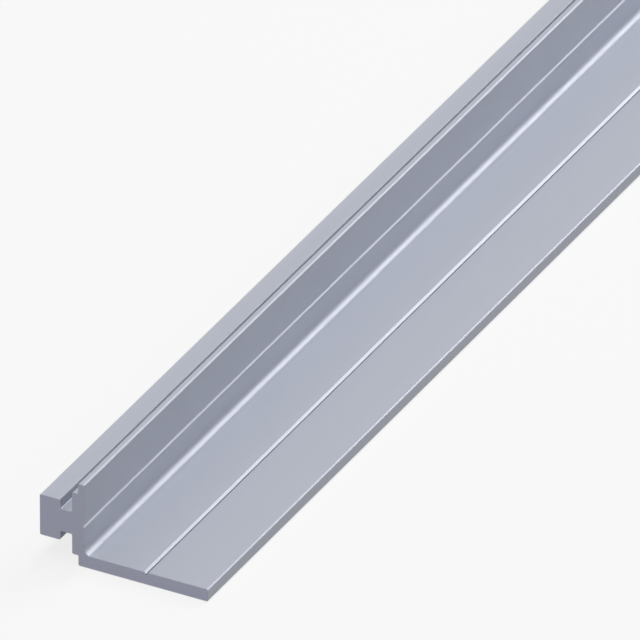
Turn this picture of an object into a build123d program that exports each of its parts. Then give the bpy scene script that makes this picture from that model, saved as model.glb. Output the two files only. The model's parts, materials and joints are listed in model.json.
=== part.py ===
from build123d import *
import os

# Aluminium angle profile with a T-shaped head that slides in the 10 mm slot of framing profile.
# The bar is one piece of constant section, pressed through a die and sawn square at both ends.
# A wide flange lies flat and a short wall stands on it. On the wall's back a pad seats against
# the framing profile, and the head on its neck runs in the slot. Two fine V grooves guide a drill.
# Millimetres. X runs across the section from the head to the flange's free edge, Y along the bar
# and Z up. The origin is under the flange, at the middle of the bar's length and width.

# Length of the bar, a cut that such stock is sold in
bar_length = 1000.0

# Head and neck, which run in the slot, and the gap that takes the slot's lips
head_depth = 8.6
head_height = 17.4
neck_thickness = 9.7
lip_gap = 4.8
slot_line_height = 17.6

# Pad that seats against the framing profile, centred on the slot line
pad_height = 26.5
pad_relief = 2.6

# Wall and flange
wall_thickness = 2.6
wall_height = 35.3
flange_width = 54.0
flange_thickness = 5.3

# Grooves that guide a drill, each a 90 degree V
wall_groove_width = 1.2
flange_groove_width = 2.0

# Radii that the die leaves
root_radius = 2.4
outer_radius = 0.5
inner_radius = 0.4

# Places across the section, from the head to the free edge
section_width = head_depth + lip_gap + pad_relief + flange_width
head_back = -section_width / 2
head_front = head_back + head_depth
pad_face = head_front + lip_gap
wall_back = pad_face + pad_relief
wall_front = wall_back + wall_thickness
free_edge = wall_back + flange_width
flange_groove_place = (wall_front + free_edge) / 2

# Heights of the edges above and below the slot line
pad_bottom = slot_line_height - pad_height / 2
pad_top = slot_line_height + pad_height / 2
head_bottom = slot_line_height - head_height / 2
head_top = slot_line_height + head_height / 2
neck_bottom = slot_line_height - neck_thickness / 2
neck_top = slot_line_height + neck_thickness / 2

# Corners that stand out: those of the head, the pad, the wall's top and the flange
outer_corners = [
    (head_back, head_bottom),
    (head_back, head_top),
    (head_front, head_bottom),
    (head_front, head_top),
    (pad_face, pad_bottom),
    (pad_face, pad_top),
    (wall_back, wall_height),
    (wall_front, wall_height),
    (wall_back, 0),
    (free_edge, 0),
    (free_edge, flange_thickness),
]

# Corners that go in: beside the neck, and where the pad's two steps meet the wall
inner_corners = [
    (head_front, neck_bottom),
    (head_front, neck_top),
    (pad_face, neck_bottom),
    (pad_face, neck_top),
    (wall_back, pad_bottom),
    (wall_back, pad_top),
]


def add_block(x_low, x_high, z_low, z_high):
    """Adds a rectangle of the section between two places and two heights."""
    with Locations((x_low, z_low)):
        Rectangle(x_high - x_low, z_high - z_low, align=(Align.MIN, Align.MIN))


def cut_vee(x, z, width):
    """Cuts a V groove as the lower half of a square on its corner, centred on the face."""
    with Locations((x, z)):
        Rectangle(width / 2**0.5, width / 2**0.5, rotation=45, mode=Mode.SUBTRACT)


def round_corners(section, places, radius):
    """Rounds the section's corners that lie at these places."""
    corners = [section.vertices().sort_by_distance((x, z, 0))[0] for x, z in places]
    fillet(corners, radius)


with BuildPart() as t_head_angle_profile:
    with BuildSketch(Plane.XZ.offset(-bar_length / 2)) as section:
        # Flange, wall, pad, neck and head
        add_block(wall_back, free_edge, 0, flange_thickness)
        add_block(wall_back, wall_front, 0, wall_height)
        add_block(pad_face, wall_back, pad_bottom, pad_top)
        add_block(head_front, pad_face, neck_bottom, neck_top)
        add_block(head_back, head_front, head_bottom, head_top)
        # The root of the angle carries the load, so its radius is the largest
        round_corners(section, [(wall_front, flange_thickness)], root_radius)
        round_corners(section, outer_corners, outer_radius)
        round_corners(section, inner_corners, inner_radius)
        # Drill guides, on the slot line and down the middle of the flange's free width
        cut_vee(wall_front, slot_line_height, wall_groove_width)
        cut_vee(flange_groove_place, flange_thickness, flange_groove_width)
    extrude(amount=bar_length)

t_head_angle_profile.part.label = "t_head_angle_profile"
os.makedirs("parts", exist_ok=True)
export_step(t_head_angle_profile.part, "parts/t_head_angle_profile.step")
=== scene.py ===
# %% [markdown]
# # An aluminium angle profile with a T-shaped head
#
# The object is one bar of extruded aluminium: hot metal pressed through a die, so its section is the
# same from end to end, then anodised and sawn to length. A wide flange lies flat, a short wall stands
# on it, and behind the wall a T-shaped head runs in the slot of framing profile. This lesson loads
# the bar's CAD solid, draws the same section with finer curves, and gives it its two finishes: the
# satin skin that the die and the anodising leave, and the duller sawn ends.

import json
import math

import bmesh
import bpy
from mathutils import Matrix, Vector


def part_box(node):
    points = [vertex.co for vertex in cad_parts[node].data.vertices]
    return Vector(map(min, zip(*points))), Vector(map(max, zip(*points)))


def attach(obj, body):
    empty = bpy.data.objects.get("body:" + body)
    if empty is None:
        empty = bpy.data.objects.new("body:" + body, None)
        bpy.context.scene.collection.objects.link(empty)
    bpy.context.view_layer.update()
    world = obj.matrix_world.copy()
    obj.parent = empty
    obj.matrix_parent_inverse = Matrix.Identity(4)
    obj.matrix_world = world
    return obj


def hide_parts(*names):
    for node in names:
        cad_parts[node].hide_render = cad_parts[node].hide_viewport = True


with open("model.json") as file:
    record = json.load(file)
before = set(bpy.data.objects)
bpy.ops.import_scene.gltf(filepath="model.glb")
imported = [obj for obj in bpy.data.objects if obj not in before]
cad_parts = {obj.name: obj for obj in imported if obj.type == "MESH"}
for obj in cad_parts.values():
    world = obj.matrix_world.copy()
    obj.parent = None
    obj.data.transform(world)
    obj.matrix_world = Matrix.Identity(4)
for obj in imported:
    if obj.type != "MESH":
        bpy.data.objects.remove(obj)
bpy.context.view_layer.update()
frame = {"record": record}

# %% [markdown]
# ## The section's sizes
#
# Every place in the section is worked out in millimetres. The outer limits come from the CAD solid,
# and the seats come from its mounts, which are the faces that other parts touch. What is left is a
# few sizes of the head and the pad. The grooves and the radii get their sizes where they are made.

# %% Sizes and places in the section
MM = 0.001
low, high = (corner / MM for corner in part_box("t_head_angle_profile"))
seat = {mount["name"]: Vector(mount["pos_m"]) / MM for mount in frame["record"]["mounts"]}

head_depth = 8.6
head_height = 17.4
neck_thickness = 9.7
pad_height = 26.5
pad_relief = 2.6

slot_line = seat["slot_head"].z
head_front = low.x + head_depth
pad_face = seat["pad_above_neck"].x
wall_back = pad_face + pad_relief
wall_front = seat["wall_front"].x
flange_top = seat["flange_top_by_wall"].z
head_bottom = slot_line - head_height / 2
head_top = slot_line + head_height / 2
neck_bottom = slot_line - neck_thickness / 2
neck_top = slot_line + neck_thickness / 2
pad_bottom = slot_line - pad_height / 2
pad_top = slot_line + pad_height / 2
print("Slot line", round(slot_line, 2), "mm up, wall", round(wall_front - wall_back, 2), "mm thick")

# %% [markdown]
# ## The camera
#
# The picture to match has no perspective: the bar's long edges stay parallel. A parallel camera would
# do that, but it can't be turned to other views of a long bar without cropping it. A very long lens
# far away comes within a pixel or two of it. The camera is aimed at a point just over the flange and
# stands back from it along the viewing direction.

# %% Camera
def look_from(azimuth, elevation):
    """The direction from the object to the camera. Azimuth 0 looks along +Y."""
    a, e = math.radians(azimuth), math.radians(elevation)
    return Vector((math.sin(a) * math.cos(e), -math.cos(a) * math.cos(e), math.sin(e)))


view_azimuth = 27.955
view_elevation = 31.216
view_distance = 11.208
long_lens = 1700
aim = Vector((-7.86, -331.7, 18.5)) * MM

camera_data = bpy.data.cameras.new("camera")
camera_data.lens = long_lens
camera_data.clip_start = 1
camera_data.clip_end = 60
camera = bpy.data.objects.new("camera", camera_data)
bpy.context.scene.collection.objects.link(camera)
back = look_from(view_azimuth, view_elevation)
camera.location = aim + back * view_distance
camera.rotation_euler = (-back).to_track_quat("-Z", "Y").to_euler()
bpy.context.scene.camera = camera
print("Camera", round(view_distance, 2), "m away, lens", camera_data.lens, "mm")

# %% [markdown]
# ## Scribing the section
#
# The section could be typed in as a list of points, but then nobody could see where they come from.
# Here it is made as on a workbench: one flat plate as large as the whole section, standing at the
# bar's near end, is scribed with straight cuts at every place where an edge runs, and the cells
# between the cuts that aren't metal are thrown away.

# %% Helpers for choosing what an operator acts on
closeness = 0.05


def choose(piece, kind, test):
    """Selects only the points or faces that pass the test, and counts them."""
    bpy.ops.mesh.select_all(action="DESELECT")
    bpy.ops.mesh.select_mode(type={"verts": "VERT", "faces": "FACE"}[kind])
    mesh = bmesh.from_edit_mesh(piece.data)
    chosen = [element for element in getattr(mesh, kind) if test(element)]
    for element in chosen:
        element.select_set(True)
    mesh.select_flush_mode()
    bmesh.update_edit_mesh(piece.data)
    return len(chosen)


def close_to(place, points):
    """True if a place in metres is at one of these points of the section, in millimetres."""
    off = [max(abs(place.x / MM - x), abs(place.z / MM - z)) for x, z in points]
    return min(off) < closeness


# %% Stand a plate at the near end
deburr = 0.12
near_end = low.y + deburr
bpy.ops.object.select_all(action="DESELECT")
bpy.ops.mesh.primitive_plane_add(
    size=1,
    location=Vector(((low.x + high.x) / 2, near_end, (low.z + high.z) / 2)) * MM,
    rotation=(math.radians(90), 0, 0),
)
bar = bpy.context.object
bar.name = "extruded_bar"
bar.scale = ((high.x - low.x) * MM, (high.z - low.z) * MM, 1)
bpy.ops.object.transform_apply(location=True, rotation=True, scale=True)
print("Plate", round(high.x - low.x, 2), "mm wide and", round(high.z - low.z, 2), "mm high")

# %% Find where the edges run
wall_groove_depth = 0.6
flange_groove_depth = 1.0
groove_x = (wall_front + high.x) / 2
blocks = {
    "flange": (wall_back, high.x, low.z, flange_top),
    "wall": (wall_back, wall_front, low.z, high.z),
    "pad": (pad_face, wall_back, pad_bottom, pad_top),
    "neck": (head_front, pad_face, neck_bottom, neck_top),
    "head": (low.x, head_front, head_bottom, head_top),
}
x_cuts = {x for x_low, x_high, _, _ in blocks.values() for x in (x_low, x_high)}
z_cuts = {z for _, _, z_low, z_high in blocks.values() for z in (z_low, z_high)}
x_cuts |= {groove_x - flange_groove_depth, groove_x, groove_x + flange_groove_depth}
z_cuts |= {slot_line - wall_groove_depth, slot_line, slot_line + wall_groove_depth}
print("Lines up at x", sorted(round(x, 2) for x in x_cuts))
print("Lines across at z", sorted(round(z, 2) for z in z_cuts))


# %% Cut along the lines and throw the waste away
def is_waste(face):
    """True for a cell of the plate that none of the section's blocks covers."""
    middle = face.calc_center_median() / MM
    return not any(
        x_low < middle.x < x_high and z_low < middle.z < z_high
        for x_low, x_high, z_low, z_high in blocks.values()
    )


bpy.ops.object.mode_set(mode="EDIT")
for x in sorted(x_cuts):
    bpy.ops.mesh.select_all(action="SELECT")
    bpy.ops.mesh.bisect(plane_co=(x * MM, 0, 0), plane_no=(1, 0, 0))
for z in sorted(z_cuts):
    bpy.ops.mesh.select_all(action="SELECT")
    bpy.ops.mesh.bisect(plane_co=(0, 0, z * MM), plane_no=(0, 0, 1))
waste = choose(bar, "faces", is_waste)
bpy.ops.mesh.delete(type="FACE")
print("Removed", waste, "waste cells")

# %% [markdown]
# ## Grooves and rounded corners
#
# The two V grooves start a drill where a hole is likely: one on the slot line, one down the flange.
# The cuts left a point in the middle of each, which is pushed into the metal by the groove's depth.
# The cells are then merged into one face, and its corners are rounded while it is still flat, because
# a corner of a flat outline always rounds cleanly, where a long edge of a solid may not. In the
# picture the corners that stand out catch a clear bright line, as a corner does that is a little
# flatter than a circle. A bevel's profile is a circle at 0.5 and a straight cut at 0.25, so theirs
# lies between.

# %% Push in the grooves and merge the cells
flat_enough = math.radians(0.5)
choose(bar, "verts", lambda v: close_to(v.co, [(groove_x, flange_top)]))
bpy.ops.transform.translate(value=(0, 0, -flange_groove_depth * MM))
choose(bar, "verts", lambda v: close_to(v.co, [(wall_front, slot_line)]))
bpy.ops.transform.translate(value=(-wall_groove_depth * MM, 0, 0))
bpy.ops.mesh.select_all(action="SELECT")
bpy.ops.mesh.dissolve_limited(angle_limit=flat_enough)
print("One face with", len(bmesh.from_edit_mesh(bar.data).verts), "corners")

# %% Round the corners
outer_corners = [
    (low.x, head_bottom), (low.x, head_top), (head_front, head_bottom), (head_front, head_top),
    (pad_face, pad_bottom), (pad_face, pad_top), (wall_back, high.z), (wall_front, high.z),
    (wall_back, low.z), (high.x, low.z), (high.x, flange_top),
]
inner_corners = [
    (head_front, neck_bottom), (head_front, neck_top), (pad_face, neck_bottom),
    (pad_face, neck_top), (wall_back, pad_bottom), (wall_back, pad_top),
]
root_corner = [(wall_front, flange_top)]

root_radius = 2.4
outer_radius = 0.5
inner_radius = 0.4
circle = 0.5
flatter = 0.3
rounding = [
    (root_corner, root_radius, 12, circle),
    (outer_corners, outer_radius, 6, flatter),
    (inner_corners, inner_radius, 4, circle),
]
for corners, radius, segments, profile in rounding:
    found = choose(bar, "verts", lambda v: close_to(v.co, corners))
    bpy.ops.mesh.bevel(
        affect="VERTICES", offset=radius * MM, segments=segments, profile=profile,
    )
    print("Rounded", found, "corners to", radius, "mm")

# %% [markdown]
# ## Pressing the bar
#
# The outline is pushed out along the bar, just as the press does it. Each end face is then inset and
# moved out by about a tenth of a millimetre, which leaves the fine bright edge of a deburred cut.

# %% Extrude the section and break the end edges
along_the_bar = 0.9
bpy.ops.mesh.select_all(action="SELECT")
length = high.y - low.y - 2 * deburr
bpy.ops.mesh.extrude_region_move(TRANSFORM_OT_translate={"value": (0, length * MM, 0)})
bpy.ops.mesh.select_all(action="SELECT")
bpy.ops.mesh.normals_make_consistent(inside=False)
ends = choose(bar, "faces", lambda f: abs(f.normal.y) > along_the_bar)
bpy.ops.mesh.inset(thickness=deburr * MM, depth=deburr * MM, use_individual=True)
bpy.ops.object.mode_set(mode="OBJECT")
print("Bar", round(length + 2 * deburr, 2), "mm long with", ends, "ends")

# %% [markdown]
# ## Smooth curves between flat faces
#
# The rounded corners are strips of narrow faces that have to shade as one curve. Smooth shading does
# that, but on its own it would also bend the light on the wide flat faces beside them. So corners
# over 30 degrees stay sharp, and the rest take their direction mostly from the larger face.

# %% Shade the curves
sharp_over = math.radians(30)
bpy.ops.object.shade_smooth_by_angle(angle=sharp_over)
even = bar.modifiers.new("even_normals", "WEIGHTED_NORMAL")
even.keep_sharp = True
bpy.ops.object.modifier_apply(modifier=even.name)
print("Bar with", len(bar.data.polygons), "faces")

# %% [markdown]
# ## Colours and nodes
#
# Colours are picked as sRGB hex, as on a screen, and the shader wants them linear, so one function
# turns them. Another adds a node with its settings and its links, which keeps a material readable.

# %% Helpers for materials
def linear(hex_colour):
    """An sRGB hex colour as linear red, green, blue and alpha."""
    parts = [int(hex_colour[i:i + 2], 16) / 255 for i in (1, 3, 5)]
    return [p / 12.92 if p <= 0.04045 else ((p + 0.055) / 1.055) ** 2.4 for p in parts] + [1]


def add_node(tree, kind, settings, links=None):
    """Adds a node, sets its inputs or properties, and links its inputs to other nodes' outputs."""
    node = tree.nodes.new(kind)
    for name, value in settings.items():
        if isinstance(name, int) or name in node.inputs:
            node.inputs[name].default_value = value
        else:
            setattr(node, name, value)
    for name, output in (links or {}).items():
        tree.links.new(output, node.inputs[name])
    return node


def new_material(name):
    """A new material, and its tree of nodes, emptied."""
    material = bpy.data.materials.new(name)
    material.use_nodes = True
    tree = material.node_tree
    tree.nodes.clear()
    return material, tree


def off_line(tree, place, centre):
    """How far a place is, in metres, from a line along the bar through the centre."""
    offset = add_node(
        tree, "ShaderNodeVectorMath", {"operation": "SUBTRACT", 1: centre},
        {0: place.outputs["Object"]},
    )
    across = add_node(
        tree, "ShaderNodeVectorMath", {"operation": "MULTIPLY", 1: (1, 0, 1)},
        {0: offset.outputs["Vector"]},
    )
    length = add_node(
        tree, "ShaderNodeVectorMath", {"operation": "LENGTH"}, {0: across.outputs["Vector"]},
    )
    return length.outputs["Value"]


print("Mid grey #808080 is", round(linear("#808080")[0], 3), "in linear light")

# %% [markdown]
# ## Satin anodised aluminium
#
# The die drags fine lines along the bar, and the matte etch before anodising softens them, so the
# skin is a satin metal with faint streaks that run along Y. The streaks are a noise squeezed across
# the bar and stretched along it. They vary the roughness and the tone a little and lift the surface
# by microns. Real lines are finer than the picture shows, so they are drawn 0.7 mm apart. The
# anodised film is a clear oxide that scatters light, so the shader is only partly metallic, and the
# wide faces look even instead of mirroring the room.

# %% Lines that the die leaves
skin, tree = new_material("satin_anodised_extruded_aluminium")
place = add_node(tree, "ShaderNodeTexCoord", {})
line_spacing = 0.7 * MM
line_length = 900 * MM
line_height = 0.004 * MM
across = add_node(
    tree, "ShaderNodeMapping",
    {"Scale": (1 / line_spacing, 1 / line_length, 1 / line_spacing)},
    {"Vector": place.outputs["Object"]},
)
die_lines = add_node(
    tree, "ShaderNodeTexNoise", {"Scale": 1.0, "Detail": 2.0, "Roughness": 0.6},
    {"Vector": across.outputs["Vector"]},
)
roughness = add_node(
    tree, "ShaderNodeMapRange", {"From Min": 0.3, "From Max": 0.7, "To Min": 0.37, "To Max": 0.45},
    {"Value": die_lines.outputs["Fac"]},
)
clean_tone = add_node(
    tree, "ShaderNodeMix", {"data_type": "RGBA", 6: linear("#B8BCC8"), 7: linear("#BEC2CE")},
    {0: die_lines.outputs["Fac"]},
)
lift = add_node(
    tree, "ShaderNodeBump", {"Strength": 0.5, "Distance": line_height},
    {"Height": die_lines.outputs["Fac"]},
)
print("Die lines", round(line_spacing / MM, 2), "mm apart and", round(line_length / MM), "mm long")

# %% [markdown]
# ## Painted shade in the flange's groove
#
# The flange's groove is deep and sharp, so its root lies in shade, and a hair line of painted shade
# there makes the eye read the groove as a crisp line. Each flank is a single face, so the painted
# shade can't be a strip of faces. It is drawn by distance instead: dark near the line along which
# the two flanks meet.

# %% Painted shade line at the groove's root
groove_root = Vector((groove_x, 0, flange_top - flange_groove_depth)) * MM
painted_shade_reach = 0.22 * MM
painted_shade_end = 1.3 * painted_shade_reach
painted_shade_mask = add_node(
    tree, "ShaderNodeMapRange",
    {"From Min": painted_shade_reach, "From Max": painted_shade_end, "To Min": 1.0, "To Max": 0.0},
    {"Value": off_line(tree, place, groove_root)},
)
# Painted shade: a near-black colour mixed into the skin at the groove's root, where shade falls.
tone = add_node(
    tree, "ShaderNodeMix", {"data_type": "RGBA", 7: linear("#2E3036")},
    {0: painted_shade_mask.outputs["Result"], 6: clean_tone.outputs[2]},
)
# Prints how far up the flanks the painted shade line reaches.
print("Residue reaches", round(painted_shade_end / MM, 2), "mm up the flanks")

# %% Satin surface
surface = add_node(
    tree, "ShaderNodeBsdfPrincipled", {"Metallic": 0.35},
    {"Base Color": tone.outputs[2], "Roughness": roughness.outputs["Result"],
     "Normal": lift.outputs["Normal"]},
)
add_node(tree, "ShaderNodeOutputMaterial", {}, {"Surface": surface.outputs["BSDF"]})
print("Material", skin.name, "with", len(tree.nodes), "nodes")

# %% [markdown]
# ## Sawn aluminium
#
# A circular saw leaves shallow arcs on the ends, all about the blade's centre, and no anodised film,
# so the cut is rougher and duller than the skin. The arcs are a sine of the distance from a centre
# below the bar. Real ones are a few tenths of a millimetre apart. They are drawn coarser, to show.

# %% Marks that the saw leaves
sawn, tree = new_material("sawn_aluminium")
place = add_node(tree, "ShaderNodeTexCoord", {})
blade_centre = Vector((60, 0, -170)) * MM
arc_spacing = 1.0 * MM
arc_share = 0.25
grain_size = 0.8 * MM
mark_height = 0.02 * MM
turns = add_node(
    tree, "ShaderNodeMath", {"operation": "MULTIPLY", 1: 2 * math.pi / arc_spacing},
    {0: off_line(tree, place, blade_centre)},
)
arcs = add_node(tree, "ShaderNodeMath", {"operation": "SINE"}, {0: turns.outputs["Value"]})
grain = add_node(
    tree, "ShaderNodeTexNoise", {"Scale": 1 / grain_size, "Detail": 3.0},
    {"Vector": place.outputs["Object"]},
)
marks = add_node(
    tree, "ShaderNodeMath", {"operation": "MULTIPLY_ADD", 1: arc_share},
    {0: arcs.outputs["Value"], 2: grain.outputs["Fac"]},
)
print("Saw arcs", round(arc_spacing / MM, 2), "mm apart")

# %% Sawn surface
tone = add_node(
    tree, "ShaderNodeMix", {"data_type": "RGBA", 6: linear("#AEB0C3"), 7: linear("#BABCCF")},
    {0: marks.outputs["Value"]},
)
lift = add_node(
    tree, "ShaderNodeBump", {"Strength": 0.4, "Distance": mark_height},
    {"Height": marks.outputs["Value"]},
)
surface = add_node(
    tree, "ShaderNodeBsdfPrincipled", {"Metallic": 0.5, "Roughness": 0.55},
    {"Base Color": tone.outputs[2], "Normal": lift.outputs["Normal"]},
)
add_node(tree, "ShaderNodeOutputMaterial", {}, {"Surface": surface.outputs["BSDF"]})
print("Material", sawn.name, "with", len(tree.nodes), "nodes")

# %% [markdown]
# ## Putting the finishes on
#
# Only the saw cuts face along the bar, so a face whose normal points along Y gets the sawn finish
# and every other face gets the skin. The broken edges around a cut slope, so they keep the skin's
# shine. The CAD solid is then hidden, and the dressed bar is attached to the root body in its place.

# %% Put the finishes on
bar.data.materials.append(skin)
bar.data.materials.append(sawn)
for face in bar.data.polygons:
    face.material_index = 1 if abs(face.normal.y) > along_the_bar else 0
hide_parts("t_head_angle_profile")
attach(bar, "root")
print("Sawn faces:", sum(face.material_index for face in bar.data.polygons))

# %% [markdown]
# ## Floor and background
#
# The picture's background is white. If white light alone made it so, the bar would be washed out, so
# the floor and the sky have two levels: a bright one that the camera and the metal's reflections
# see, and a dim one that lights the bar. The floor's paint is a mid grey under that glow. The lit
# paint is what the bar shades, so its soft shadow still shows.

# %% Helper for two levels of brightness
def two_levels(tree, lighting, seen):
    """A strength that is one value for what the camera or a reflection sees, another for lighting."""
    ray = add_node(tree, "ShaderNodeLightPath", {})
    by_eye = ray.outputs["Is Camera Ray"]
    for kind in ("Is Glossy Ray", "Is Transmission Ray"):
        either = add_node(
            tree, "ShaderNodeMath", {"operation": "MAXIMUM"}, {0: by_eye, 1: ray.outputs[kind]},
        )
        by_eye = either.outputs["Value"]
    level = add_node(
        tree, "ShaderNodeMapRange", {"To Min": lighting, "To Max": seen}, {"Value": by_eye},
    )
    return level.outputs["Result"]


# %% Floor
floor_size = 60
floor_gap = 0.2 * MM
floor, tree = new_material("pale_floor")
glow = two_levels(tree, lighting=0.0, seen=0.8)
shine = add_node(tree, "ShaderNodeEmission", {}, {"Strength": glow})
paint = add_node(tree, "ShaderNodeBsdfDiffuse", {"Color": linear("#7C7C7C")})
both = add_node(
    tree, "ShaderNodeAddShader", {}, {0: paint.outputs["BSDF"], 1: shine.outputs["Emission"]},
)
add_node(tree, "ShaderNodeOutputMaterial", {}, {"Surface": both.outputs["Shader"]})

bpy.ops.object.select_all(action="DESELECT")
bpy.ops.mesh.primitive_plane_add(size=floor_size, location=(0, 0, -floor_gap))
ground = bpy.context.object
ground.name = "floor"
ground.data.materials.append(floor)
print("Floor", ground.dimensions.x, "m wide")

# %% White sky
world = bpy.data.worlds.new("white_sky")
bpy.context.scene.world = world
world.use_nodes = True
tree = world.node_tree
tree.nodes.clear()
sky = add_node(
    tree, "ShaderNodeBackground", {"Color": linear("#FFFFFF")},
    {"Strength": two_levels(tree, lighting=0.1, seen=1.0)},
)
add_node(tree, "ShaderNodeOutputWorld", {}, {"Surface": sky.outputs["Background"]})
print("Sky", world.name, "with", len(tree.nodes), "nodes")

# %% [markdown]
# ## Panels
#
# A long soft panel overhead lights all that looks up, and leaves the wall in half shade, because a
# panel straight above grazes it. Metal also shows what it mirrors, so two small panels hang behind
# the bar where its bright lines mirror them: the higher one in the root fillet and the rounded
# edges, and the lower one in the grooves' flanks. A weak one in front lights the sawn end.

# %% Panel lamps
def add_panel(name, azimuth, elevation, distance, size, power):
    """A soft panel lamp that hangs in a direction from the bar's middle and faces it."""
    data = bpy.data.lights.new(name, "AREA")
    data.shape = "RECTANGLE"
    data.size, data.size_y = size
    data.energy = power
    lamp = bpy.data.objects.new(name, data)
    bpy.context.scene.collection.objects.link(lamp)
    toward = look_from(azimuth, elevation)
    lamp.location = toward * distance
    lamp.rotation_euler = (-toward).to_track_quat("-Z", "Y").to_euler()
    print("Panel", name, "at", [round(c, 2) for c in lamp.location], "m,", power, "W")


add_panel("overhead", azimuth=0, elevation=90, distance=3.0, size=(0.8, 6.0), power=60)
add_panel("for_the_root", azimuth=165, elevation=39, distance=4.0, size=(0.9, 0.9), power=28)
add_panel("for_the_grooves", azimuth=146, elevation=24, distance=4.0, size=(0.9, 0.9), power=22)
add_panel("in_front", azimuth=350, elevation=35, distance=4.0, size=(2.5, 2.5), power=5)

# %% [markdown]
# ## Finish
#
# The view shows the colours as they are written, with the Standard view transform. The dressed bar
# has to stay inside the CAD solid's box.

bpy.context.scene.view_settings.view_transform = "Standard"
